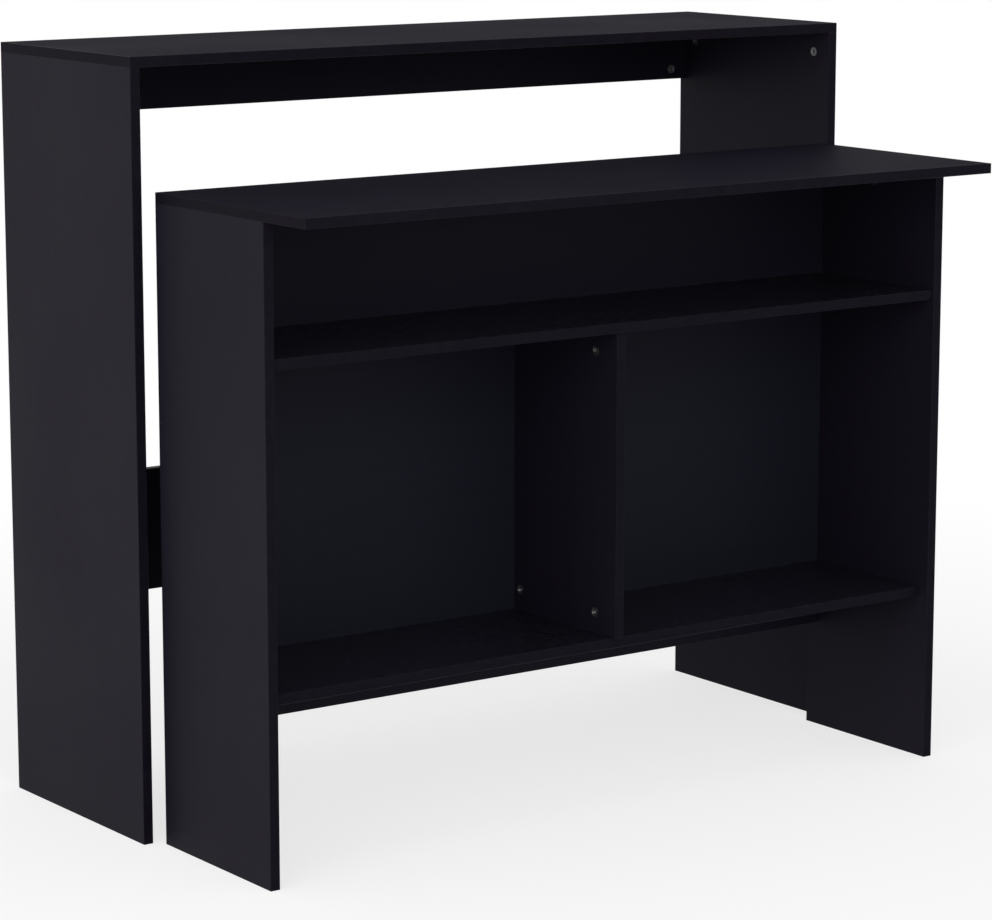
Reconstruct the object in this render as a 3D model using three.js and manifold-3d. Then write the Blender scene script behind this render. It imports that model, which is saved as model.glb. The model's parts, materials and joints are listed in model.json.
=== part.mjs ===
// A bar counter of two free-standing tables in black laminated board. The tall one has an open front
// and two rails at its back. The low one stands in front of it, with two shelves, a divider and a
// closed back, and is narrow and low enough to slide in under the tall one.
//
// Millimetres, Z up, X along the length, the low table on the -Y side. The origin is on the floor, in
// the middle of the ground that both tables cover. The boards are held together by cam locks, the cam
// bolts that they pull on, and wooden dowels.

import * as THREE from 'three';
import { mergeVertices } from 'three/addons/utils/BufferGeometryUtils.js';
import Module from 'manifold-3d';

// Every board
const boardThickness = 16;

// Tall table
const tallLength = 1370;
const tallDepth = 400;
const tallHeight = 1200;
const upperRailHeight = 100;
const lowerRailHeight = 200;
const lowerRailFloorGap = 300;

// Low table, which slides in between the tall table's sides with a clearance at each end
const slideClearance = 19;
const lowLength = tallLength - 2 * (boardThickness + slideClearance);
const lowHeight = 1000;
const lowSideDepth = 300;
const lowTopDepth = 410;
const topBayHeight = 199;
const lowerBayHeight = 481;
const middleShelfInset = 5;
const bottomShelfInset = 20;
const dividerInset = 11;
const backBoardInset = 6;
const backBoardDrop = 93;

// How the two tables stand to each other
const tableGap = 15;
const lowTableShift = -5;

// Cam lock: a disc let into a board's face, with a cross slot to turn it by. Its setback is from the
// board's edge to its centre, and its bore leaves a floor in the board.
const camDiameter = 15;
const camSetback = 34;
const camRecess = 0.2;
const camBoreFloor = 2.7;
const camCrossLength = 8;
const camCrossWidth = 2;
const camCrossDepth = 2.4;

// Cam bolt: its thread is in one board, its shaft in the edge of the other, its head in the cam
const boltThreadDiameter = 6;
const boltThreadLength = 11;
const boltShaftDiameter = 7;
const boltNeckDiameter = 4.4;
const boltNeckLength = 4;
const boltHeadLength = 4;

// Wooden dowel
const dowelDiameter = 8;
const dowelFaceLength = 10;
const dowelEdgeLength = 20;
const dowelChamfer = 1;

// Where the fittings stand along each joint
const tallSideLockInset = 40;
const upperRailLockInset = 17;
const lowerRailLockInset = 50;
const lowSideLockInset = 150;
const lowSideDowelInset = 50;
const shelfLockInset = 60;
const dividerFrontLockInset = 54;
const dividerRearLockInset = 16;

// Running clearance round every fitting, and how far a drill starts outside the board
const fittingClearance = 0.3;
const drillOverrun = 1;
const camSides = 12;
const fittingSides = 8;

const left = new THREE.Vector3(-1, 0, 0);
const right = new THREE.Vector3(1, 0, 0);
const front = new THREE.Vector3(0, -1, 0);
const back = new THREE.Vector3(0, 1, 0);
const down = new THREE.Vector3(0, 0, -1);
const up = new THREE.Vector3(0, 0, 1);
const latheAxis = new THREE.Vector3(0, 1, 0);

const wasm = await Module();
wasm.setup();

// The closed solid that a three.js geometry bounds, its shared corners merged.
function solidOf(geometry) {
  const bare = geometry.clone();
  bare.deleteAttribute('normal');
  bare.deleteAttribute('uv');
  const merged = mergeVertices(bare);
  const corners = [];
  for (let i = 0; i < merged.index.count; i += 3) {
    const [a, b, c] = [0, 1, 2].map((k) => merged.index.getX(i + k));
    if (a !== b && b !== c && c !== a) corners.push(a, b, c);
  }
  return new wasm.Manifold(new wasm.Mesh({
    numProp: 3,
    vertProperties: new Float32Array(merged.attributes.position.array),
    triVerts: new Uint32Array(corners),
  }));
}

// The three.js geometry of a solid.
function geometryOf(solid) {
  const { numProp, vertProperties, triVerts } = solid.getMesh();
  const positions = new Float32Array((vertProperties.length / numProp) * 3);
  for (let i = 0; i < positions.length / 3; i += 1) {
    positions.set(vertProperties.subarray(i * numProp, i * numProp + 3), i * 3);
  }
  const geometry = new THREE.BufferGeometry();
  geometry.setAttribute('position', new THREE.BufferAttribute(positions, 3));
  geometry.setIndex(Array.from(triVerts));
  return geometry;
}

// The index (0, 1 or 2) of the axis that a direction lies along.
const axisOf = (direction) => [0, 1, 2].find((axis) => direction.getComponent(axis) !== 0);

// The coordinate of a box's face on the side that a direction points to.
function faceOf(box, direction) {
  const axis = axisOf(direction);
  return direction.getComponent(axis) > 0 ? box.max.getComponent(axis) : box.min.getComponent(axis);
}

function boxGeometry(box) {
  const size = box.getSize(new THREE.Vector3());
  const centre = box.getCenter(new THREE.Vector3());
  return new THREE.BoxGeometry(size.x, size.y, size.z).translate(centre.x, centre.y, centre.z);
}

// A geometry that stands along +Y, turned to stand along a direction from a point.
function stand(geometry, direction, point) {
  const turn = new THREE.Quaternion().setFromUnitVectors(latheAxis, direction);
  return geometry.applyQuaternion(turn).translate(point.x, point.y, point.z);
}

// A blind hole from a point on a board's surface, along a direction into the board.
function drill(board, point, direction, diameter, depth, sides) {
  const length = depth + drillOverrun;
  const tool = new THREE.CylinderGeometry(diameter / 2, diameter / 2, length, sides);
  tool.translate(0, length / 2 - drillOverrun, 0);
  board.holes.push(solidOf(stand(tool, direction, point)));
}

// A board fills the box between two corners.
function makeBoard(table, name, from, to) {
  const box = new THREE.Box3(new THREE.Vector3(...from), new THREE.Vector3(...to));
  const board = { name, box, holes: [] };
  table.boards.push(board);
  return board;
}

// A bolt stands along +Y: its thread above the joint's face, its head at the cam's centre below it.
function boltGeometry() {
  const thread = boltThreadDiameter / 2;
  const shaft = boltShaftDiameter / 2;
  const headEnd = -camSetback - boltHeadLength / 2;
  const headStart = headEnd + boltHeadLength;
  const profile = [
    [0, headEnd],
    [shaft, headEnd],
    [shaft, headStart],
    [boltNeckDiameter / 2, headStart],
    [shaft, headStart + boltNeckLength],
    [shaft, -fittingClearance],
    [thread, -fittingClearance],
    [thread, boltThreadLength],
    [0, boltThreadLength],
  ];
  return new THREE.LatheGeometry(profile.map(([x, y]) => new THREE.Vector2(x, y)), fittingSides);
}

// A dowel stands along +Y, its longer end below the joint's face.
function dowelGeometry() {
  const radius = dowelDiameter / 2;
  const profile = [
    [0, -dowelEdgeLength],
    [radius - dowelChamfer, -dowelEdgeLength],
    [radius, -dowelEdgeLength + dowelChamfer],
    [radius, dowelFaceLength - dowelChamfer],
    [radius - dowelChamfer, dowelFaceLength],
    [0, dowelFaceLength],
  ];
  return new THREE.LatheGeometry(profile.map(([x, y]) => new THREE.Vector2(x, y)), fittingSides);
}

// A cam lock in its own frame: its face looks along +Z, and the bolt comes in from +X, half a board
// below the board's face, which is at zero. A cross slot is cut in its face, and a pocket in its side
// takes the bolt's head.
function camSolid() {
  const height = boardThickness - camBoreFloor - fittingClearance - camRecess;
  const radius = camDiameter / 2;
  const disc = new THREE.CylinderGeometry(radius, radius, height, camSides).rotateX(Math.PI / 2);
  disc.translate(0, 0, -camRecess - height / 2);
  const slotHeight = camCrossDepth + drillOverrun;
  const slotMiddle = drillOverrun - camRecess - slotHeight / 2;
  const slots = [
    new THREE.BoxGeometry(camCrossLength, camCrossWidth, slotHeight),
    new THREE.BoxGeometry(camCrossWidth, camCrossLength, slotHeight),
  ].map((slot) => solidOf(slot.translate(0, 0, slotMiddle)));
  const pocketWidth = boltShaftDiameter + 2 * fittingClearance;
  const pocketStart = -boltHeadLength / 2 - fittingClearance;
  const pocketLength = radius + drillOverrun - pocketStart;
  const pocket = new THREE.BoxGeometry(pocketLength, pocketWidth, pocketWidth);
  pocket.translate(pocketStart + pocketLength / 2, 0, -boardThickness / 2);
  return solidOf(disc).subtract(slots[0].add(slots[1])).subtract(solidOf(pocket));
}

// A joint is where the edge of one board meets the face of another. `toward` points out of the edge
// into the other board, and `camFace` is the side of the edge board that cam locks are let into.
function jointBetween(edgeBoard, faceBoard, toward, camFace) {
  const jointAxis = axisOf(toward);
  const thicknessAxis = axisOf(camFace);
  const alongAxis = [0, 1, 2].find((axis) => axis !== jointAxis && axis !== thicknessAxis);
  const spot = edgeBoard.box.getCenter(new THREE.Vector3());
  spot.setComponent(jointAxis, faceOf(edgeBoard.box, toward));
  const into = toward.clone().negate();
  return { edgeBoard, faceBoard, toward, into, camFace, thicknessAxis, alongAxis, spot };
}

// A cam lock and its bolt, with their bores, at a coordinate along a joint.
function fitLock(table, name, joint, place) {
  const { edgeBoard, faceBoard, toward, into, camFace, thicknessAxis, alongAxis, spot } = joint;
  const point = spot.clone().setComponent(alongAxis, place);
  const camPoint = point.clone().addScaledVector(into, camSetback);
  camPoint.setComponent(thicknessAxis, faceOf(edgeBoard.box, camFace));
  const camBore = camDiameter + 2 * fittingClearance;
  const shaftBore = boltShaftDiameter + 2 * fittingClearance;
  const pilotBore = boltThreadDiameter + 2 * fittingClearance;
  drill(edgeBoard, camPoint, camFace.clone().negate(), camBore, boardThickness - camBoreFloor, camSides);
  drill(edgeBoard, point, into, shaftBore, camSetback, fittingSides);
  drill(faceBoard, point, toward, pilotBore, boltThreadLength + fittingClearance, fittingSides);
  const across = new THREE.Vector3().crossVectors(camFace, toward);
  const frame = new THREE.Matrix4().makeBasis(toward, across, camFace).setPosition(camPoint);
  const cam = geometryOf(camSolid()).applyMatrix4(frame);
  table.fittings.push({ name: `${name}_cam_lock`, geometry: cam, finish: 'cam' });
  const bolt = stand(boltGeometry(), toward, point);
  table.fittings.push({ name: `${name}_cam_bolt`, geometry: bolt, finish: 'bolt' });
}

// A dowel, with its bores, at a coordinate along a joint.
function fitDowel(table, name, joint, place) {
  const { edgeBoard, faceBoard, toward, into, alongAxis, spot } = joint;
  const point = spot.clone().setComponent(alongAxis, place);
  const bore = dowelDiameter + 2 * fittingClearance;
  drill(edgeBoard, point, into, bore, dowelEdgeLength + fittingClearance, fittingSides);
  drill(faceBoard, point, toward, bore, dowelFaceLength + fittingClearance, fittingSides);
  const dowel = stand(dowelGeometry(), toward, point);
  table.fittings.push({ name: `${name}_dowel`, geometry: dowel, finish: 'dowel' });
}

// The tall table. Its own zero is on the floor, in the middle of its length, at its front edge.
function buildTallTable() {
  const table = { name: 'tall', boards: [], fittings: [] };
  const half = tallLength / 2;
  const inner = half - boardThickness;
  const underTop = tallHeight - boardThickness;
  const railFront = tallDepth - boardThickness;
  const upperRailBottom = underTop - upperRailHeight;
  const lowerRailTop = lowerRailFloorGap + lowerRailHeight;

  const top = makeBoard(table, 'top', [-half, 0, underTop], [half, tallDepth, tallHeight]);
  const leftSide = makeBoard(table, 'left_side', [-half, 0, 0], [-inner, tallDepth, underTop]);
  const rightSide = makeBoard(table, 'right_side', [inner, 0, 0], [half, tallDepth, underTop]);
  const upperRail = makeBoard(table, 'upper_rail',
    [-inner, railFront, upperRailBottom], [inner, tallDepth, underTop]);
  const lowerRail = makeBoard(table, 'lower_rail',
    [-inner, railFront, lowerRailFloorGap], [inner, tallDepth, lowerRailTop]);

  const ends = [
    { end: 'left', side: leftSide, outward: left, inward: right },
    { end: 'right', side: rightSide, outward: right, inward: left },
  ];
  ends.forEach(({ end, side, outward, inward }) => {
    const topJoint = jointBetween(side, top, up, inward);
    fitLock(table, `${end}_side_front`, topJoint, tallSideLockInset);
    fitLock(table, `${end}_side_rear`, topJoint, tallDepth - tallSideLockInset);
    const upperJoint = jointBetween(upperRail, side, outward, front);
    fitLock(table, `upper_rail_${end}`, upperJoint, upperRailBottom + upperRailLockInset);
    fitDowel(table, `upper_rail_${end}`, upperJoint, underTop - upperRailLockInset);
    const lowerJoint = jointBetween(lowerRail, side, outward, front);
    fitLock(table, `lower_rail_${end}`, lowerJoint, lowerRailFloorGap + lowerRailLockInset);
    fitDowel(table, `lower_rail_${end}`, lowerJoint, lowerRailTop - lowerRailLockInset);
  });
  return table;
}

// The low table. Its own zero is on the floor, in the middle of its length, at its back.
function buildLowTable() {
  const table = { name: 'low', boards: [], fittings: [] };
  const half = lowLength / 2;
  const inner = half - boardThickness;
  const underTop = lowHeight - boardThickness;
  const middleShelfTop = underTop - topBayHeight;
  const middleShelfBottom = middleShelfTop - boardThickness;
  const bottomShelfTop = middleShelfBottom - lowerBayHeight;
  const bottomShelfBottom = bottomShelfTop - boardThickness;
  const sideFront = -lowSideDepth;
  const backBoardRear = -backBoardInset;
  const backBoardFront = backBoardRear - boardThickness;
  const middleShelfFront = sideFront + middleShelfInset;
  const bottomShelfFront = sideFront + bottomShelfInset;
  const dividerFront = sideFront + dividerInset;
  const backBoardBottom = bottomShelfBottom - backBoardDrop;

  const top = makeBoard(table, 'top', [-half, -lowTopDepth, underTop], [half, 0, lowHeight]);
  const leftSide = makeBoard(table, 'left_side', [-half, sideFront, 0], [-inner, 0, underTop]);
  const rightSide = makeBoard(table, 'right_side', [inner, sideFront, 0], [half, 0, underTop]);
  const backBoard = makeBoard(table, 'back_board',
    [-inner, backBoardFront, backBoardBottom], [inner, backBoardRear, underTop]);
  const middleShelf = makeBoard(table, 'middle_shelf',
    [-inner, middleShelfFront, middleShelfBottom], [inner, backBoardFront, middleShelfTop]);
  const bottomShelf = makeBoard(table, 'bottom_shelf',
    [-inner, bottomShelfFront, bottomShelfBottom], [inner, backBoardFront, bottomShelfTop]);
  const divider = makeBoard(table, 'divider',
    [-boardThickness / 2, dividerFront, bottomShelfTop],
    [boardThickness / 2, backBoardFront, middleShelfBottom]);

  const ends = [
    { end: 'left', side: leftSide, outward: left, inward: right },
    { end: 'right', side: rightSide, outward: right, inward: left },
  ];
  const shelves = [
    { label: 'middle_shelf', shelf: middleShelf, shelfFront: middleShelfFront },
    { label: 'bottom_shelf', shelf: bottomShelf, shelfFront: bottomShelfFront },
  ];
  ends.forEach(({ end, side, outward, inward }) => {
    const topJoint = jointBetween(side, top, up, inward);
    fitLock(table, `${end}_side`, topJoint, sideFront + lowSideLockInset);
    fitDowel(table, `${end}_side`, topJoint, sideFront + lowSideDowelInset);
    shelves.forEach(({ label, shelf, shelfFront }) => {
      const shelfJoint = jointBetween(shelf, side, outward, down);
      fitLock(table, `${label}_${end}`, shelfJoint, shelfFront + shelfLockInset);
      fitDowel(table, `${label}_${end}`, shelfJoint, backBoardFront - shelfLockInset);
    });
    const backJoint = jointBetween(backBoard, side, outward, back);
    fitDowel(table, `back_board_${end}`, backJoint, (backBoardBottom + underTop) / 2);
  });

  const dividerEnds = [
    { end: 'top', shelf: middleShelf, outward: up },
    { end: 'bottom', shelf: bottomShelf, outward: down },
  ];
  dividerEnds.forEach(({ end, shelf, outward }) => {
    const shelfJoint = jointBetween(divider, shelf, outward, left);
    fitLock(table, `divider_${end}_front`, shelfJoint, dividerFront + dividerFrontLockInset);
    fitLock(table, `divider_${end}_rear`, shelfJoint, backBoardFront - dividerRearLockInset);
  });
  return table;
}

const finishes = {
  board: { color: 0x1d1d21, roughness: 0.45, metalness: 0 },
  cam: { color: 0x8c8c90, roughness: 0.4, metalness: 0.9 },
  bolt: { color: 0xb4b2ac, roughness: 0.35, metalness: 0.9 },
  dowel: { color: 0xc8a87c, roughness: 0.8, metalness: 0 },
};

function mesh(name, geometry, finish) {
  const piece = new THREE.Mesh(geometry, new THREE.MeshStandardMaterial(finishes[finish]));
  piece.name = name;
  return piece;
}

// One named mesh for each board, with its holes, and one for each fitting.
function assemble(table) {
  const group = new THREE.Group();
  table.boards.forEach(({ name, box, holes }) => {
    const bored = holes.reduce((solid, hole) => solid.subtract(hole), solidOf(boxGeometry(box)));
    group.add(mesh(`${table.name}_${name}`, geometryOf(bored), 'board'));
  });
  table.fittings.forEach(({ name, geometry, finish }) => {
    group.add(mesh(`${table.name}_${name}`, geometry, finish));
  });
  return group;
}

const groundDepth = tallDepth + tableGap + lowTopDepth;
const tallFrontY = groundDepth / 2 - tallDepth;
const lowBackY = tallFrontY - tableGap;

const tallTable = assemble(buildTallTable());
tallTable.position.set(0, tallFrontY, 0);
const lowTable = assemble(buildLowTable());
lowTable.position.set(lowTableShift, lowBackY, 0);

const counter = new THREE.Group();
counter.add(tallTable, lowTable);

export default counter;
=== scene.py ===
# %% [markdown]
# A bar counter in black laminated board
#
# The real object is two free-standing tables that are used as one counter. The tall one is a top on
# two sides with two rails at its back. The low one has a top that reaches over its front, two
# shelves, a divider and a closed back. Both are chipboard covered with black laminate, and knock-down
# fittings hold them together.
#
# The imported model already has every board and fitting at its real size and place. This script loads
# it as a fixed frame and dresses it: each board becomes a core with glued edge lippings, and each
# fitting gets the shape that it has in the hand.

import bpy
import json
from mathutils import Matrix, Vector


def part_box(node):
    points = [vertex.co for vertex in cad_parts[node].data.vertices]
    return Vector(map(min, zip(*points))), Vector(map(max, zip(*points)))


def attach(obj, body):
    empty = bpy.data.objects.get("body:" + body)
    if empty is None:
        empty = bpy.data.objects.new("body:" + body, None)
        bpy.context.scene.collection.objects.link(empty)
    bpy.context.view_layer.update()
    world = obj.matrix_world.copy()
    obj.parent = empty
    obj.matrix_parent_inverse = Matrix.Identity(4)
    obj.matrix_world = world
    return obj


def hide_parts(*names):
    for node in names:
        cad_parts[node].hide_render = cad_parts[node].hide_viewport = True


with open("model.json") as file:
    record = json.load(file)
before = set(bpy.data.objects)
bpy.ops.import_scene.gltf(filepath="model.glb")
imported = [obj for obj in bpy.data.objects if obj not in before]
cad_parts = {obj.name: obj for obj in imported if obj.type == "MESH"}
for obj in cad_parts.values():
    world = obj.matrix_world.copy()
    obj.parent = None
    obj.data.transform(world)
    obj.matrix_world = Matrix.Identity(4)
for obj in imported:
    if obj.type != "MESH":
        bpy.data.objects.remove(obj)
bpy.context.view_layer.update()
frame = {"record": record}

# %% Bring in Blender's modules
import json
import math

import bmesh
import bpy
from mathutils import Matrix, Vector

# %% [markdown]
# The camera
#
# The photograph was taken from the front left, a little above the tall top, with a long lens. It
# could be matched by shifting the lens so that all the uprights stay parallel, but that shift is so
# large that the counter would leave the picture in every other view. So the camera is tilted down
# a little instead, and its place and lens keep the whole counter in the picture.

# %% Set up the camera
camera_place = Vector((-3.348, -4.609, 1.579))
camera_turn = math.radians(35.735)
camera_tilt = math.radians(10.47)
camera_lens = 130.75
camera_sensor = 36
camera_reach = 100

camera_data = bpy.data.cameras.new("camera")
camera_data.lens = camera_lens
camera_data.sensor_width = camera_sensor
camera_data.clip_end = camera_reach
camera = bpy.data.objects.new("camera", camera_data)
camera.location = camera_place
camera.rotation_euler = (math.radians(90) - camera_tilt, 0, -camera_turn)
bpy.context.scene.collection.objects.link(camera)
bpy.context.scene.camera = camera
print("camera at", tuple(camera_place), "lens", camera_lens)

# %% [markdown]
# Reading the model
#
# Everything that follows is placed from the boxes of the model's nodes. A board is a box with one
# thin axis, and its grain runs along its longest one. A fitting belongs to each board whose box it
# reaches into, so the bores don't have to be listed: they follow from where the fittings are.

# %% Sort the nodes into boards and fittings
millimetre = 0.001
close_enough = 0.1 * millimetre
body_of = {
    node: body
    for body, members in frame["record"]["behaviour"]["bodies"].items()
    for node in members
}
cam_nodes = sorted(node for node in body_of if node.endswith("_cam_lock"))
bolt_nodes = sorted(node for node in body_of if node.endswith("_cam_bolt"))
dowel_nodes = sorted(node for node in body_of if node.endswith("_dowel"))
fitting_nodes = cam_nodes + bolt_nodes + dowel_nodes
board_nodes = sorted(set(body_of) - set(fitting_nodes))
box_of = {node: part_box(node) for node in body_of}
print(len(board_nodes), "boards", len(cam_nodes), "cam locks")
print(len(bolt_nodes), "cam bolts", len(dowel_nodes), "dowels")


# %% Measure a box
def size_of(box):
    return box[1] - box[0]


def middle_of(box):
    return (box[0] + box[1]) / 2


def longest_axis(box):
    size = size_of(box)
    return max(range(3), key=lambda axis: size[axis])


def thinnest_axis(box):
    size = size_of(box)
    return min(range(3), key=lambda axis: size[axis])


def along(axis, sign=1):
    """The unit vector along an axis, or against it."""
    direction = Vector((0, 0, 0))
    direction[axis] = sign
    return direction


def shared_box(first, second):
    """The box that two boxes have in common, or None."""
    low = Vector(map(max, first[0], second[0]))
    high = Vector(map(min, first[1], second[1]))
    return (low, high) if all(b - a > close_enough for a, b in zip(low, high)) else None


def boards_round(fitting):
    """The boards that a fitting reaches into, with the part of it that lies in each."""
    found = {
        board: shared_box(box_of[board], box_of[fitting])
        for board in board_nodes
        if body_of[board] == body_of[fitting]
    }
    return {board: part for board, part in found.items() if part}


print("tall_left_side_front_cam_bolt is in", sorted(boards_round("tall_left_side_front_cam_bolt")))

# %% [markdown]
# Shader building blocks
#
# Every finish here is a Principled shader with a little noise in its colour, roughness and height.
# Image textures would be quicker, but noise on Object coordinates has no seams, needs no unwrapping
# and keeps its real scale on every board. A Mapping node stretches the noise along the grain.
#
# A noise is given as its features per metre and its build, which is its detail, its roughness and at
# times its distortion. It seldom comes near 0 or 1, so its middle is spread over the whole range.

# %% Make a material with its shader
noise_middle = (0.3, 0.7)


def new_finish(name):
    material = bpy.data.materials.new(name)
    material.use_nodes = True
    tree = material.node_tree
    return material, tree, tree.nodes["Principled BSDF"]


def stretched_place(tree, per_metre):
    """Object coordinates times a count of features per metre along each axis."""
    place = tree.nodes.new("ShaderNodeTexCoord")
    mapping = tree.nodes.new("ShaderNodeMapping")
    mapping.inputs["Scale"].default_value = per_metre
    tree.links.new(place.outputs["Object"], mapping.inputs["Vector"])
    return mapping.outputs["Vector"]


def noise(tree, per_metre, detail, roughness, distortion=0.0):
    vector = stretched_place(tree, per_metre)
    texture = tree.nodes.new("ShaderNodeTexNoise")
    texture.inputs["Scale"].default_value = 1
    texture.inputs["Detail"].default_value = detail
    texture.inputs["Roughness"].default_value = roughness
    texture.inputs["Distortion"].default_value = distortion
    tree.links.new(vector, texture.inputs["Vector"])
    return texture.outputs["Fac"]


def ranged(tree, value, from_low, from_high, to_low, to_high):
    """A value mapped from one range to another, and held inside it."""
    node = tree.nodes.new("ShaderNodeMapRange")
    for name, number in (
        ("From Min", from_low),
        ("From Max", from_high),
        ("To Min", to_low),
        ("To Max", to_high),
    ):
        node.inputs[name].default_value = number
    tree.links.new(value, node.inputs["Value"])
    return node.outputs["Result"]


def blended(tree, factor, first, second):
    """A colour between two colours."""
    node = tree.nodes.new("ShaderNodeMix")
    node.data_type = "RGBA"
    node.inputs["A"].default_value = (*first, 1)
    node.inputs["B"].default_value = (*second, 1)
    tree.links.new(factor, node.inputs["Factor"])
    return node.outputs["Result"]


def combined(tree, first, second, operation="ADD"):
    node = tree.nodes.new("ShaderNodeMath")
    node.operation = operation
    tree.links.new(first, node.inputs[0])
    tree.links.new(second, node.inputs[1])
    return node.outputs["Value"]


def raised(tree, height, shader, depth):
    """Bump: a height from 0 to 1 stands up to a depth in metres."""
    node = tree.nodes.new("ShaderNodeBump")
    node.inputs["Strength"].default_value = 1
    node.inputs["Distance"].default_value = depth
    tree.links.new(height, node.inputs["Height"])
    tree.links.new(node.outputs["Normal"], shader.inputs["Normal"])


def along_grain(grain_axis, counts):
    """Counts per metre for x, y and z: the first count along the grain, the second across it."""
    grain, cross = counts
    return tuple(grain if axis == grain_axis else cross for axis in range(3))


def evenly(count):
    """The same count per metre for x, y and z."""
    return (count, count, count)


# %% [markdown]
# The black laminate
#
# The boards are faced with a melamine film pressed under a plate that leaves a shallow wood pore.
# From a step away it looks like an even satin black with a breath of violet, with faint streaks along
# the grain and a broad soft sheen. The colour hardly varies. What the eye reads is the change in
# gloss, so most of the noise goes into roughness and height.
#
# The two tops are seen almost edge on, where every film shines most, and yet they look no brighter
# than the sides. So they get a matter film of their own. The shelves are seen edge on too, but they
# mirror the dark board behind them, and look just as dark as it is, right into the corner. So theirs
# is a shinier film, and its colour is painted shade: darker and bluer than the film of the sides. One
# film with a gloss that depends on the angle could do some of this, but it would be lost when the
# materials are baked. The boards that run across, between the sides, get a bluer copy of the colour,
# which is painted shade for the shaded bays that they stand in. The sides and tops lean to violet.

# %% Mix the laminate, with its grain along one axis
laminate_dark = (0.0100, 0.0087, 0.0148)
laminate_light = (0.0114, 0.0099, 0.0167)
side_gloss = 0.05
side_roughness = (0.44, 0.52)
top_gloss = 0.0055
top_roughness = (0.58, 0.66)
shelf_gloss = 0.7
shelf_roughness = (0.25, 0.31)
no_painted_shade = (1, 1, 1)
# painted shade: a bluer copy of the colour for the back board and rails in the shaded bays
inner_painted_shade = (0.90, 1.06, 1.06)
# painted shade: a darker and bluer copy of the colour for the shelves
shelf_painted_shade = (0.61, 0.72, 0.72)

film_streaks = (1.6, 70)
streak_build = (4, 0.6, 0.4)
film_pores = (45, 1500)
pore_build = (2, 0.5)
pore_edge = (0.55, 0.68)
pore_roughness = 0.12
film_clouds = 3
cloud_build = (3, 0.5)
film_grit = 1300
grit_build = (1, 0.5)
face_height = 0.7
film_grit_height = 0.3
film_depth = 0.03 * millimetre


# A share of the colour below one in a channel is painted shade on that copy of the film.
def laminate(name, grain_axis, gloss, roughness, painted_shade_share=no_painted_shade):
    material, tree, shader = new_finish(name)
    dark = [tone * share for tone, share in zip(laminate_dark, painted_shade_share)]
    light = [tone * share for tone, share in zip(laminate_light, painted_shade_share)]
    streaks = noise(tree, along_grain(grain_axis, film_streaks), *streak_build)
    pores = noise(tree, along_grain(grain_axis, film_pores), *pore_build)
    clouds = noise(tree, evenly(film_clouds), *cloud_build)
    grit = noise(tree, evenly(film_grit), *grit_build)

    colour = blended(tree, ranged(tree, streaks, *noise_middle, 0, 1), dark, light)
    tree.links.new(colour, shader.inputs["Base Color"])

    pore = ranged(tree, pores, *pore_edge, 0, 1)
    rough = combined(
        tree,
        ranged(tree, clouds, *noise_middle, *roughness),
        ranged(tree, pore, 0, 1, 0, pore_roughness),
    )
    tree.links.new(rough, shader.inputs["Roughness"])

    height = combined(
        tree,
        ranged(tree, pore, 0, 1, face_height, 0),
        ranged(tree, grit, *noise_middle, 0, film_grit_height),
    )
    raised(tree, height, shader, film_depth)
    shader.inputs["Specular IOR Level"].default_value = gloss
    return material


# The film along x, on the back board and the rails, carries the bluer painted shade; the film along z
# has none.
laminate_along = {
    axis: laminate(f"black_laminate_along_{'xyz'[axis]}", axis, side_gloss, side_roughness, painted_shade_share)
    for axis, painted_shade_share in ((0, inner_painted_shade), (2, no_painted_shade))
}
top_laminate = laminate("black_laminate_of_tops", 0, top_gloss, top_roughness)
# The shelves' film carries the darker, bluer painted shade in its colour.
shelf_laminate = laminate("black_laminate_of_shelves_with_painted_shade", 0, shelf_gloss, shelf_roughness, shelf_painted_shade)


def film_of(board):
    if board.endswith("_top"):
        return top_laminate
    if board.endswith("_shelf"):
        return shelf_laminate
    return laminate_along[longest_axis(box_of[board])]


print("laminates", sorted({film_of(board).name for board in board_nodes}))

# %% [markdown]
# The edge lipping
#
# Each edge that shows is closed with a strip of black plastic, glued on hot and trimmed flush. It has
# no grain and is a touch smoother than the faces. Its trimmed arrises are scraped round with a blade,
# which leaves them glossier and a little paler. The paler colour is partly scraped wear and partly a
# painted highlight, the thin line of light along each arris. The strip is a piece of its own here, so
# that its arrises and the hairline beside it come from the shape.

# %% Mix the lipping and its scraped arris, with a painted highlight
lipping_dark = (0.0064, 0.0056, 0.0092)
lipping_light = (0.0086, 0.0075, 0.0120)
lipping_gloss = 0.016
lipping_roughness = (0.36, 0.46)
# The arris colours are paler than the lipping's: partly scraped wear, partly a painted highlight
# along the arris.
arris_wear_and_highlight_dark = (0.0078, 0.0070, 0.0110)
arris_wear_and_highlight_light = (0.0130, 0.0120, 0.0165)
arris_gloss = 0.07
arris_roughness = (0.26, 0.38)

ripples = 60
ripple_build = (3, 0.6)
ripple_height = 0.6
lipping_grit = 2200
lipping_grit_height = 0.2
lipping_depth = 0.02 * millimetre


def lipping_finish(name, dark, light, gloss, roughness):
    material, tree, shader = new_finish(name)
    ripple = noise(tree, evenly(ripples), *ripple_build)
    grit = noise(tree, evenly(lipping_grit), *grit_build)
    colour = blended(tree, ranged(tree, ripple, *noise_middle, 0, 1), dark, light)
    tree.links.new(colour, shader.inputs["Base Color"])
    rough = ranged(tree, ripple, *noise_middle, *roughness)
    tree.links.new(rough, shader.inputs["Roughness"])
    height = combined(
        tree,
        ranged(tree, ripple, *noise_middle, 0, ripple_height),
        ranged(tree, grit, *noise_middle, 0, lipping_grit_height),
    )
    raised(tree, height, shader, lipping_depth)
    shader.inputs["Specular IOR Level"].default_value = gloss
    return material


black_lipping = lipping_finish(
    "black_lipping", lipping_dark, lipping_light, lipping_gloss, lipping_roughness
)
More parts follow.
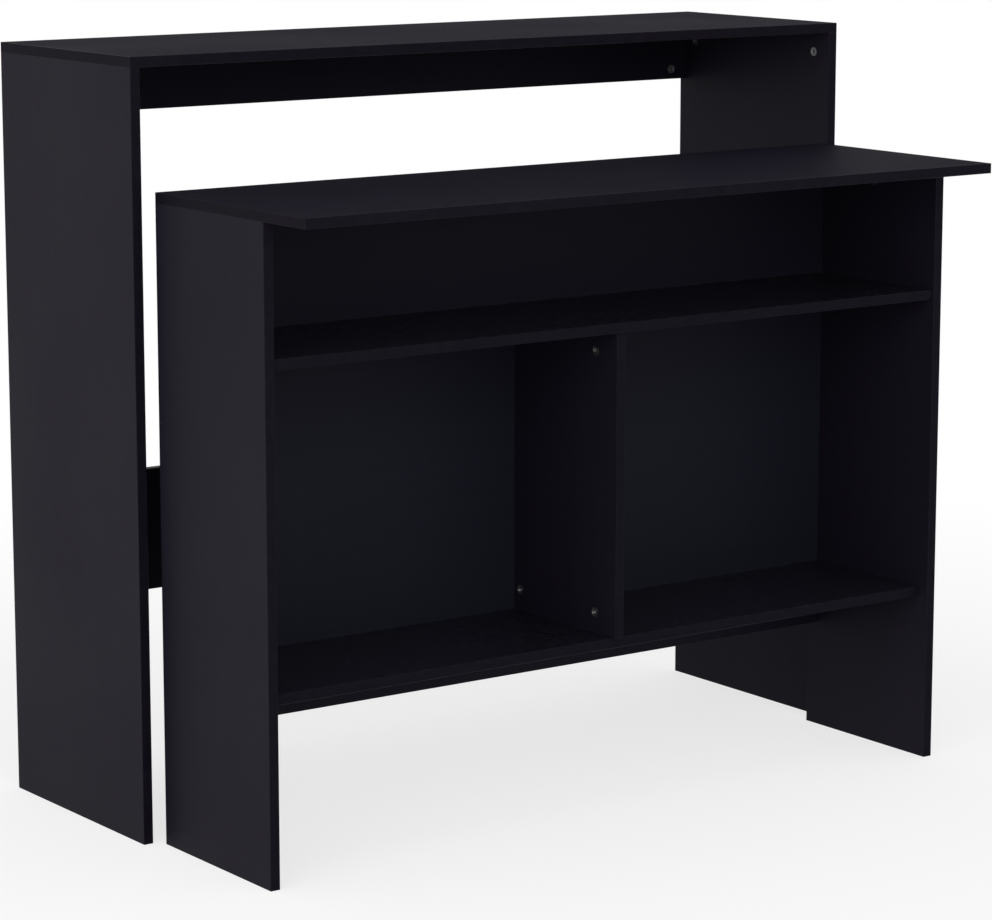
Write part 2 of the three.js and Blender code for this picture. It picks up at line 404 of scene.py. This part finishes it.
# The scraped arris carries a painted highlight in its paler colour.
scraped_arris_with_highlight = lipping_finish(
    "scraped_arris_with_highlight", arris_wear_and_highlight_dark, arris_wear_and_highlight_light, arris_gloss, arris_roughness
)
print("finishes", black_lipping.name, scraped_arris_with_highlight.name)

# %% [markdown]
# The chipboard inside
#
# Where a board is drilled or butts against another, the raw chipboard shows: pressed wood chips, a
# few millimetres long, in pale and darker browns. Almost none of it can be seen once the counter
# stands together, only a thin ring round each cam lock. A Voronoi texture gives each chip its own
# tone.

# %% Mix the chipboard
chips_per_metre = (420, 420, 650)
chip_dark = (0.13, 0.078, 0.040)
chip_light = (0.33, 0.23, 0.13)
chip_depth = 0.2 * millimetre
chip_roughness = 0.9


def chipboard_finish():
    material, tree, shader = new_finish("raw_chipboard")
    chips = tree.nodes.new("ShaderNodeTexVoronoi")
    chips.inputs["Scale"].default_value = 1
    tree.links.new(stretched_place(tree, chips_per_metre), chips.inputs["Vector"])
    tone = tree.nodes.new("ShaderNodeSeparateColor")
    tree.links.new(chips.outputs["Color"], tone.inputs["Color"])
    colour = blended(tree, tone.outputs["Red"], chip_dark, chip_light)
    tree.links.new(colour, shader.inputs["Base Color"])
    raised(tree, chips.outputs["Distance"], shader, chip_depth)
    shader.inputs["Roughness"].default_value = chip_roughness
    return material


raw_chipboard = chipboard_finish()
print("finish", raw_chipboard.name)

# %% [markdown]
# Making and cutting a mesh
#
# A piece starts as a bmesh and ends as an object at the origin, with its place in its mesh. Drilled
# boards and slotted castings need a cut that bmesh has no operator for, so that one step is a Boolean
# modifier whose result is kept as the mesh. The cutter's faces carry the second material, so that the
# cut leaves raw chipboard in a bore.


# %% Start a bmesh
def turned_to(direction):
    """The rotation that stands +Z along a direction."""
    return direction.to_track_quat("Z", "Y").to_matrix().to_4x4()


def add_box(bm, low, high):
    place = Matrix.Translation((low + high) / 2) @ Matrix.Diagonal((*(high - low), 1))
    bmesh.ops.create_cube(bm, size=1, matrix=place)


def add_rod(bm, radius, length, sides, place=Matrix.Identity(4)):
    """A closed rod that stands along Z, with its middle at the origin, before it is placed."""
    bmesh.ops.create_cone(
        bm,
        cap_ends=True,
        segments=sides,
        radius1=radius,
        radius2=radius,
        depth=length,
        matrix=place,
    )


def rounded(bm, edges, offset, segments, clamped=False):
    """Bevel some edges, and give back the new faces."""
    done = bmesh.ops.bevel(
        bm,
        geom=edges,
        offset=offset,
        segments=segments,
        profile=0.5,
        affect="EDGES",
        material=-1,
        clamp_overlap=clamped,
    )
    return done["faces"]


# %% Turn a bmesh into a mesh, and cut one mesh with another
def mesh_from(bm, name):
    mesh = bpy.data.meshes.new(name)
    bmesh.ops.recalc_face_normals(bm, faces=bm.faces)
    bm.to_mesh(mesh)
    bm.free()
    return mesh


def add_object(name, mesh):
    piece = bpy.data.objects.new(name, mesh)
    bpy.context.scene.collection.objects.link(piece)
    return piece


def cut(mesh, cutter_mesh):
    """The mesh with the cutter taken out of it."""
    name = mesh.name
    blank = add_object("blank", mesh)
    cutter = add_object("cutter", cutter_mesh)
    modifier = blank.modifiers.new("cut", "BOOLEAN")
    modifier.operation = "DIFFERENCE"
    modifier.solver = "EXACT"
    modifier.material_mode = "INDEX"
    modifier.use_self = True
    modifier.object = cutter
    evaluated = blank.evaluated_get(bpy.context.evaluated_depsgraph_get())
    result = bpy.data.meshes.new_from_object(evaluated)
    for spare in (blank, cutter):
        old = spare.data
        bpy.data.objects.remove(spare)
        bpy.data.meshes.remove(old)
    result.name = name
    return result


# %% [markdown]
# The boards
#
# A board could be the model's box with a Bevel modifier, but a real one is a core with strips glued
# to its edges, and the strips are what the eye finds at a corner. So the core is made smaller by the
# strip's thickness on each lipped edge, its own arrises are barely broken, and the strips get the
# rounder arris. An edge that is hidden in a joint has no strip.

# %% Say which edges have a lipping
lipping_thickness = 0.8 * millimetre

edge_left, edge_right = (0, -1), (0, 1)
edge_front, edge_rear = (1, -1), (1, 1)
edge_bottom, edge_top = (2, -1), (2, 1)
lipped_edges = {
    "top": [edge_left, edge_right, edge_front, edge_rear],
    "side": [edge_front, edge_rear, edge_bottom],
    "upper_rail": [edge_bottom],
    "lower_rail": [edge_bottom, edge_top],
    "back_board": [edge_bottom],
    "shelf": [edge_front],
    "divider": [edge_front],
}


def edges_of(board):
    return next(edges for ending, edges in lipped_edges.items() if board.endswith(ending))


def core_box(board):
    low, high = (corner.copy() for corner in box_of[board])
    for axis, sign in edges_of(board):
        if sign < 0:
            low[axis] += lipping_thickness
        else:
            high[axis] -= lipping_thickness
    return low, high


print("lipped edges", sum(len(edges_of(board)) for board in board_nodes))

# %% [markdown]
# The bores
#
# A bore is round and a hair wider than what goes into it. A cam lock sits in a blind bore in the face
# of its board. A bolt or dowel crosses a joint, so each of its two boards has a bore for its own
# part. The bolt's shaft is thicker than its thread.

# %% Work out the bores of a board
bore_play = 0.06 * millimetre
bore_overrun = 1 * millimetre
bore_segments = 64
bolt_thread_radius = 3 * millimetre


def bore_for(board, fitting, part):
    """The two ends and the radius of the bore that a fitting needs in a board."""
    fitting_box, board_box = box_of[fitting], box_of[board]
    is_cam = fitting in cam_nodes
    axis = thinnest_axis(fitting_box) if is_cam else longest_axis(fitting_box)
    cross = next(other for other in range(3) if other != axis)
    radius = size_of(fitting_box)[cross] / 2
    in_thread = size_of(part)[axis] < size_of(fitting_box)[axis] / 2
    if fitting in bolt_nodes and in_thread:
        radius = bolt_thread_radius
    sign = 1 if middle_of(part)[axis] < middle_of(board_box)[axis] else -1
    mouth, floor = middle_of(part), middle_of(part)
    mouth[axis] = (board_box[0] if sign > 0 else board_box[1])[axis] - sign * bore_overrun
    floor[axis] = (part[1] if sign > 0 else part[0])[axis] + sign * bore_play
    return mouth, floor, radius + bore_play


def bores_bmesh(board):
    """All the bores of a board, as closed round rods."""
    bm = bmesh.new()
    for fitting in fitting_nodes:
        part = boards_round(fitting).get(board)
        if part is None:
            continue
        mouth, floor, radius = bore_for(board, fitting, part)
        place = Matrix.Translation((mouth + floor) / 2) @ turned_to(floor - mouth)
        add_rod(bm, radius, (floor - mouth).length, bore_segments, place)
    for face in bm.faces:
        face.material_index = 1
    return bm


print("bores", sum(len(boards_round(fitting)) for fitting in fitting_nodes))

# %% Make a board's core, with its bores
core_round = 0.22 * millimetre
core_segments = 2
same_direction = 0.5


def core_mesh(board):
    bm = bmesh.new()
    add_box(bm, *core_box(board))
    thin = thinnest_axis(box_of[board])
    lipped = [along(*edge) for edge in edges_of(board)]
    for face in bm.faces:
        is_edge = abs(face.normal[thin]) < same_direction
        is_lipped = any(face.normal.dot(direction) > same_direction for direction in lipped)
        face.material_index = 1 if is_edge and not is_lipped else 0
    for face in rounded(bm, bm.edges[:], core_round, core_segments):
        face.material_index = 0
    mesh = mesh_from(bm, f"{board}_core")
    cutter = mesh_from(bores_bmesh(board), "bores")
    for target in (mesh, cutter):
        for finish in (film_of(board), raw_chipboard):
            target.materials.append(finish)
    return cut(mesh, cutter)


for board in board_nodes:
    core = add_object(f"{board}_core", core_mesh(board))
    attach(core, body_of[board])
    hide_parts(board)
    print(core.name, len(core.data.polygons), "faces")


# %% [markdown]
# The lippings
#
# On a top the long strips are glued last and run past the ends of the short ones, so a short strip
# stops at the core. Each strip is a thin bar. Only the arrises of its outer face are rounded, and on
# a short strip not at its ends, where it meets the long one.

# %% Make the strips of a board
lipping_round = 0.4 * millimetre
lipping_segments = 3


def strip_bmesh(board, axis, sign):
    low, high = (corner.copy() for corner in box_of[board])
    core_low, core_high = core_box(board)
    size = size_of(box_of[board])
    run_axis = next(other for other in range(3) if other not in (axis, thinnest_axis(box_of[board])))
    runs_past = size[run_axis] >= size[axis]
    if not runs_past:
        low[run_axis], high[run_axis] = core_low[run_axis], core_high[run_axis]
    if sign < 0:
        high[axis] = core_low[axis]
    else:
        low[axis] = core_high[axis]
    bm = bmesh.new()
    add_box(bm, low, high)
    outer = (low if sign < 0 else high)[axis]
    arrises = []
    for edge in bm.edges:
        first, second = (vertex.co for vertex in edge.verts)
        on_outer_face = max(abs(first[axis] - outer), abs(second[axis] - outer)) < close_enough
        runs_along = abs(first[run_axis] - second[run_axis]) > close_enough
        if on_outer_face and (runs_along or runs_past):
            arrises.append(edge)
    # The rounded arris faces take the scraped arris, with its painted highlight.
    for face in rounded(bm, arrises, lipping_round, lipping_segments):
        face.material_index = 1
    return bm


def lipping_mesh(board):
    whole = bmesh.new()
    for axis, sign in edges_of(board):
        strip = mesh_from(strip_bmesh(board, axis, sign), "strip")
        whole.from_mesh(strip)
        bpy.data.meshes.remove(strip)
    mesh = bpy.data.meshes.new(f"{board}_lipping")
    whole.to_mesh(mesh)
    whole.free()
    mesh.materials.append(black_lipping)
    mesh.materials.append(scraped_arris_with_highlight)
    return mesh


for board in board_nodes:
    lipping = add_object(f"{board}_lipping", lipping_mesh(board))
    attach(lipping, body_of[board])
print("lippings", len(board_nodes))

# %% [markdown]
# The cam locks
#
# A cam lock is a die-cast zinc drum. Its face has a raised rim, a dished middle with a tapered socket
# and a cross slot for the screwdriver, and an arrow that shows where the bolt comes in. It is turned
# as a profile with spin, and the slots and the pocket for the bolt's head are then cut out.
#
# The zinc is dull and dark, with a soft sheen. So a cam lock that faces the open room is grey, and
# one deep between the boards, which has only them to mirror, stays dim.

# %% Mix the zinc
zinc_dark = (0.19, 0.19, 0.20)
zinc_light = (0.32, 0.32, 0.33)
zinc_roughness = (0.36, 0.52)
zinc_stains = 700
stain_build = (4, 0.6)
stain_range = (0.35, 0.7)
zinc_depth = 0.05 * millimetre


def zinc_finish():
    material, tree, shader = new_finish("cast_zinc")
    stain = noise(tree, evenly(zinc_stains), *stain_build)
    colour = blended(tree, ranged(tree, stain, *stain_range, 0, 1), zinc_dark, zinc_light)
    tree.links.new(colour, shader.inputs["Base Color"])
    rough = ranged(tree, stain, *noise_middle, *zinc_roughness)
    tree.links.new(rough, shader.inputs["Roughness"])
    raised(tree, stain, shader, zinc_depth)
    shader.inputs["Metallic"].default_value = 1
    return material


cast_zinc = zinc_finish()
print("finish", cast_zinc.name)

# %% [markdown]
# Turned shapes
#
# A drum or a pin is a profile of radius and height that is spun round the Z axis. A Screw modifier
# could do the same, but the spin leaves a plain mesh at once. The spun shape is then shaded smooth,
# with its sharp edges kept.

# %% Spin a profile and shade it
merge_distance = 0.001 * millimetre
sharp_angle = math.radians(32)


def spun(profile, steps, name):
    """A closed shape turned round the Z axis from a profile of radius and height."""
    bm = bmesh.new()
    points = [bm.verts.new((radius, 0, height)) for radius, height in profile]
    edges = [bm.edges.new(pair) for pair in zip(points, points[1:])]
    bmesh.ops.spin(
        bm,
        geom=points + edges,
        cent=(0, 0, 0),
        axis=(0, 0, 1),
        angle=math.tau,
        steps=steps,
        use_merge=True,
    )
    bmesh.ops.remove_doubles(bm, verts=bm.verts, dist=merge_distance)
    return mesh_from(bm, name)


def shade_round(mesh):
    """Smooth shading, broken at the sharp edges."""
    bm = bmesh.new()
    bm.from_mesh(mesh)
    for face in bm.faces:
        face.smooth = True
    for edge in bm.edges:
        edge.smooth = len(edge.link_faces) == 2 and edge.calc_face_angle() < sharp_angle
    bm.to_mesh(mesh)
    bm.free()
    return mesh


# %% Turn the cam's drum, and cut its slots
cam_radius = 7.5 * millimetre
cam_recess = 0.02 * millimetre
cam_depth = 13 * millimetre
cam_rim_width = 1.9 * millimetre
cam_dish = 0.35 * millimetre
cam_chamfer = 0.12 * millimetre
cam_steps = 64
socket_radius = 3.1 * millimetre
socket_floor_radius = 1.5 * millimetre
socket_depth = 3.4 * millimetre
cross_length = 8.4 * millimetre
cross_width = 1.8 * millimetre
cross_depth = 2.6 * millimetre
arrow_radius = 0.8 * millimetre
arrow_depth = 0.6 * millimetre
arrow_corners = 3
pocket_width = 7.6 * millimetre
pocket_back = 2.3 * millimetre
board_middle = 8 * millimetre


def cam_cutter():
    """The cross slot, the arrow and the pocket for the bolt's head."""
    bm = bmesh.new()
    half_length, half_width = cross_length / 2, cross_width / 2
    pocket_half = pocket_width / 2
    bars = [
        ((-half_length, -half_width, -cross_depth), (half_length, half_width, bore_overrun)),
        ((-half_width, -half_length, -cross_depth), (half_width, half_length, bore_overrun)),
        (
            (-pocket_back, -pocket_half, -board_middle - pocket_half),
            (cam_radius + bore_overrun, pocket_half, -board_middle + pocket_half),
        ),
    ]
    for low, high in bars:
        add_box(bm, Vector(low), Vector(high))
    arrow_middle = Vector((cam_radius - cam_rim_width / 2 - cam_chamfer / 2, 0, -cam_recess))
    arrow_place = Matrix.Translation(arrow_middle) @ Matrix.Rotation(math.radians(-90), 4, "Z")
    add_rod(bm, arrow_radius, arrow_depth, arrow_corners, arrow_place)
    return mesh_from(bm, "cam_cutter")


rim_inner = cam_radius - cam_chamfer - cam_rim_width
cam_profile = [
    (0, -cam_recess - cam_dish - socket_depth),
    (socket_floor_radius, -cam_recess - cam_dish - socket_depth),
    (socket_radius, -cam_recess - cam_dish),
    (rim_inner - cam_dish, -cam_recess - cam_dish),
    (rim_inner, -cam_recess),
    (cam_radius - cam_chamfer, -cam_recess),
    (cam_radius, -cam_recess - cam_chamfer),
    (cam_radius, -cam_depth + cam_chamfer),
    (cam_radius - cam_chamfer, -cam_depth),
    (0, -cam_depth),
]
cam_template = shade_round(cut(spun(cam_profile, cam_steps, "cam"), cam_cutter()))
print("cam", len(cam_template.polygons), "faces")

# %% [markdown]
# Placing the fittings
#
# Each cam lock faces out of the board that it sits in, and its pocket points at its bolt. Both
# directions follow from the boxes. The shape is copied and moved in its mesh, so that the object
# itself stays at the origin, as the model's own nodes do.


# %% Place a cam lock
def add_fitting(node, ending, template, place, finish):
    mesh = template.copy()
    mesh.transform(place)
    mesh.materials.clear()
    mesh.materials.append(finish)
    piece = add_object(f"{node}_{ending}", mesh)
    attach(piece, body_of[node])
    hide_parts(node)


def cam_place(node):
    bolt = node.replace("_cam_lock", "_cam_bolt")
    (board,) = boards_round(node)
    face_axis = thinnest_axis(box_of[node])
    bolt_axis = longest_axis(box_of[bolt])
    outward = middle_of(box_of[node])[face_axis] - middle_of(box_of[board])[face_axis]
    to_bolt = middle_of(box_of[bolt])[bolt_axis] - middle_of(box_of[node])[bolt_axis]
    facing = along(face_axis, math.copysign(1, outward))
    pointing = along(bolt_axis, math.copysign(1, to_bolt))
    point = middle_of(box_of[node])
    point[face_axis] = box_of[board][1 if outward > 0 else 0][face_axis]
    turn = Matrix((pointing, facing.cross(pointing), facing)).transposed().to_4x4()
    return Matrix.Translation(point) @ turn


for node in cam_nodes:
    add_fitting(node, "casting", cam_template, cam_place(node), cast_zinc)
print("cam locks placed", len(cam_nodes))

# %% [markdown]
# The cam bolts and dowels
#
# These are hidden inside the joints, but a counter that is taken apart shows them. The bolt is a
# turned steel pin: a round head for the cam to grip, a waist, a shaft, and a coarse wood thread,
# which is turned here as rings. The dowel is a beech pin with pressed flutes and tapered ends.

# %% Mix the steel and the beech
steel_dark = (0.42, 0.41, 0.39)
steel_light = (0.60, 0.59, 0.56)
steel_roughness = (0.25, 0.42)
steel_marks = 900
mark_build = (2, 0.5)
beech_dark = (0.40, 0.25, 0.13)
beech_light = (0.62, 0.44, 0.27)
beech_roughness = 0.75
beech_fibres = (60, 2400)
fibre_build = (3, 0.6)
beech_depth = 0.08 * millimetre


def steel_finish():
    material, tree, shader = new_finish("turned_steel")
    marks = noise(tree, evenly(steel_marks), *mark_build)
    colour = blended(tree, marks, steel_dark, steel_light)
    tree.links.new(colour, shader.inputs["Base Color"])
    rough = ranged(tree, marks, *noise_middle, *steel_roughness)
    tree.links.new(rough, shader.inputs["Roughness"])
    shader.inputs["Metallic"].default_value = 1
    return material


def beech_finish(grain_axis):
    material, tree, shader = new_finish(f"dowel_beech_along_{'xyz'[grain_axis]}")
    fibres = noise(tree, along_grain(grain_axis, beech_fibres), *fibre_build)
    colour = blended(tree, ranged(tree, fibres, *noise_middle, 0, 1), beech_dark, beech_light)
    tree.links.new(colour, shader.inputs["Base Color"])
    raised(tree, fibres, shader, beech_depth)
    shader.inputs["Roughness"].default_value = beech_roughness
    return material


turned_steel = steel_finish()
beech_along = {axis: beech_finish(axis) for axis in (0, 2)}
print("finishes", turned_steel.name, [finish.name for finish in beech_along.values()])

# %% Turn the bolt
bolt_shaft_radius = 3.5 * millimetre
bolt_neck_radius = 2.2 * millimetre
bolt_core_radius = 2.1 * millimetre
bolt_head_length = 4 * millimetre
bolt_neck_length = 4 * millimetre
bolt_set_back = 36 * millimetre
bolt_thread_length = 11 * millimetre
bolt_shoulder = 0.3 * millimetre
bolt_round = 0.6 * millimetre
bolt_steps = 32
thread_pitch = 2.2 * millimetre
thread_tip = 2 * millimetre
ring_start, ring_crest, ring_end = 0.2, 0.6, 0.8

head_top = bolt_head_length - bolt_set_back
bolt_profile = [
    (0, -bolt_set_back),
    (bolt_shaft_radius - bolt_round, -bolt_set_back),
    (bolt_shaft_radius, -bolt_set_back + bolt_round),
    (bolt_shaft_radius, head_top - bolt_round),
    (bolt_shaft_radius - bolt_round, head_top),
    (bolt_neck_radius, head_top),
    (bolt_neck_radius, head_top + bolt_neck_length / 2),
    (bolt_shaft_radius, head_top + bolt_neck_length),
    (bolt_shaft_radius, -bolt_shoulder - bolt_round),
    (bolt_shaft_radius - bolt_round, -bolt_shoulder),
    (bolt_core_radius, -bolt_shoulder),
]
ring_count = int((bolt_thread_length - thread_tip) / thread_pitch)
for ring in range(ring_count):
    foot = ring * thread_pitch
    bolt_profile += [
        (bolt_core_radius, foot + ring_start * thread_pitch),
        (bolt_thread_radius, foot + ring_crest * thread_pitch),
        (bolt_core_radius, foot + ring_end * thread_pitch),
    ]
bolt_profile += [
    (bolt_core_radius, bolt_thread_length - thread_tip),
    (bolt_core_radius / 2, bolt_thread_length),
    (0, bolt_thread_length),
]
bolt_template = shade_round(spun(bolt_profile, bolt_steps, "bolt"))
print("bolt", len(bolt_template.polygons), "faces", ring_count, "thread rings")


# %% Place the bolts
def bolt_place(node):
    """The bolt's zero is where its two boards meet, and its thread points into the second."""
    axis = longest_axis(box_of[node])
    thread_part = min(boards_round(node).values(), key=lambda part: size_of(part)[axis])
    sign = 1 if middle_of(thread_part)[axis] > middle_of(box_of[node])[axis] else -1
    point = middle_of(box_of[node])
    point[axis] = thread_part[0 if sign > 0 else 1][axis]
    return Matrix.Translation(point) @ turned_to(along(axis, sign))


for node in bolt_nodes:
    add_fitting(node, "turned", bolt_template, bolt_place(node), turned_steel)
print("bolts placed", len(bolt_nodes))

# %% Make the fluted dowel
dowel_radius = 4 * millimetre
dowel_length = 30 * millimetre
dowel_chamfer = 1.2 * millimetre
dowel_segments = 2
flute_count = 20
flute_depth = 0.25 * millimetre
flute_edge = 0.15 * millimetre
wall_slope = 0.5
end_slope = 0.9


def dowel_mesh():
    bm = bmesh.new()
    add_rod(bm, dowel_radius, dowel_length, flute_count * 2)
    walls = [face for face in bm.faces if abs(face.normal.z) < wall_slope]
    bmesh.ops.inset_individual(bm, faces=walls[::2], thickness=flute_edge, depth=-flute_depth)
    rims = [edge for edge in bm.edges if abs(edge.verts[0].co.z - edge.verts[1].co.z) < close_enough]
    ends = [edge for edge in rims if any(abs(face.normal.z) > end_slope for face in edge.link_faces)]
    rounded(bm, ends, dowel_chamfer, dowel_segments, clamped=True)
    return mesh_from(bm, "dowel")


dowel_template = shade_round(dowel_mesh())
for node in dowel_nodes:
    axis = longest_axis(box_of[node])
    place = Matrix.Translation(middle_of(box_of[node])) @ turned_to(along(axis))
    add_fitting(node, "fluted", dowel_template, place, beech_along[axis])
print("dowels placed", len(dowel_nodes))

# %% [markdown]
# The studio
#
# The counter stands on a pale floor that runs into a white background. A floor that is simply lit
# white would need so much light that black boards turn grey. So the camera, and what shines, see the
# background as plain white, while the light that falls on the boards comes from two wide soft lamps
# and from a dimmer sky. One lamp lights the sides and the other looks into the shelves. Close to the
# counter the floor mixes its real shading in, which keeps the shadow.

# %% Lay the floor
floor_half = 6.0
shadow_near = 1.1
shadow_far = 2.6
shadow_share = 0.3
floor_colour = (0.80, 0.80, 0.80, 1)
floor_white = (1, 1, 1, 1)


def direct_ray(tree):
    """One for a ray of the camera, a reflection or a view through glass, and zero for the rest."""
    rays = tree.nodes.new("ShaderNodeLightPath")
    seen = combined(tree, rays.outputs["Is Camera Ray"], rays.outputs["Is Glossy Ray"], "MAXIMUM")
    return combined(tree, seen, rays.outputs["Is Transmission Ray"], "MAXIMUM")


def floor_finish():
    material = bpy.data.materials.new("pale_floor")
    material.use_nodes = True
    tree = material.node_tree
    tree.nodes.clear()
    output = tree.nodes.new("ShaderNodeOutputMaterial")
    place = tree.nodes.new("ShaderNodeTexCoord")
    reach = tree.nodes.new("ShaderNodeVectorMath")
    reach.operation = "LENGTH"
    tree.links.new(place.outputs["Object"], reach.inputs[0])
    share = ranged(tree, reach.outputs["Value"], shadow_near, shadow_far, shadow_share, 0)

    lit = tree.nodes.new("ShaderNodeBsdfDiffuse")
    lit.inputs["Color"].default_value = floor_colour
    bright = tree.nodes.new("ShaderNodeBsdfDiffuse")
    bright.inputs["Color"].default_value = floor_white
    glow = tree.nodes.new("ShaderNodeEmission")
    glow.inputs["Color"].default_value = floor_white
    seen = tree.nodes.new("ShaderNodeMixShader")
    tree.links.new(share, seen.inputs["Fac"])
    tree.links.new(glow.outputs["Emission"], seen.inputs[1])
    tree.links.new(bright.outputs["BSDF"], seen.inputs[2])

    chosen = tree.nodes.new("ShaderNodeMixShader")
    tree.links.new(direct_ray(tree), chosen.inputs["Fac"])
    tree.links.new(lit.outputs["BSDF"], chosen.inputs[1])
    tree.links.new(seen.outputs["Shader"], chosen.inputs[2])
    tree.links.new(chosen.outputs["Shader"], output.inputs["Surface"])
    return material


floor_bm = bmesh.new()
bmesh.ops.create_grid(floor_bm, x_segments=1, y_segments=1, size=floor_half)
floor = add_object("floor", mesh_from(floor_bm, "floor"))
floor.data.materials.append(floor_finish())
print("floor", 2 * floor_half, "metres wide")

# %% Set the sky
sky_strength = 0.7
background_strength = 1
sky_white = (1, 1, 1, 1)

world = bpy.data.worlds.new("studio")
bpy.context.scene.world = world
world.use_nodes = True
sky = world.node_tree
sky.nodes.clear()


def sky_light(strength):
    light = sky.nodes.new("ShaderNodeBackground")
    light.inputs["Color"].default_value = sky_white
    light.inputs["Strength"].default_value = strength
    return light.outputs["Background"]


sky_mix = sky.nodes.new("ShaderNodeMixShader")
sky.links.new(direct_ray(sky), sky_mix.inputs["Fac"])
sky.links.new(sky_light(sky_strength), sky_mix.inputs[1])
sky.links.new(sky_light(background_strength), sky_mix.inputs[2])
sky_output = sky.nodes.new("ShaderNodeOutputWorld")
sky.links.new(sky_mix.outputs["Shader"], sky_output.inputs["Surface"])
print("sky", sky_strength, "background", background_strength)

# %% Hang the soft lamps
lamp_target = Vector((0, 0, 0.6))
lamp_width = 3.0
side_lamp_place = Vector((-4.0, -1.8, 2.2))
side_lamp_watts = 45
front_lamp_place = Vector((-1.5, -5.0, 2.6))
front_lamp_watts = 80


def soft_lamp(name, place, watts):
    data = bpy.data.lights.new(name, "AREA")
    data.shape = "SQUARE"
    data.size = lamp_width
    data.energy = watts
    lamp = bpy.data.objects.new(name, data)
    lamp.location = place
    lamp.rotation_mode = "QUATERNION"
    lamp.rotation_quaternion = (lamp_target - place).to_track_quat("-Z", "Y")
    bpy.context.scene.collection.objects.link(lamp)


soft_lamp("side_lamp", side_lamp_place, side_lamp_watts)
soft_lamp("front_lamp", front_lamp_place, front_lamp_watts)
print("lamps", len(bpy.data.lights))

# %% [markdown]
# Last setting
#
# The render uses Blender's Standard view transform.

# %% Set the view transform
bpy.context.scene.view_settings.view_transform = "Standard"
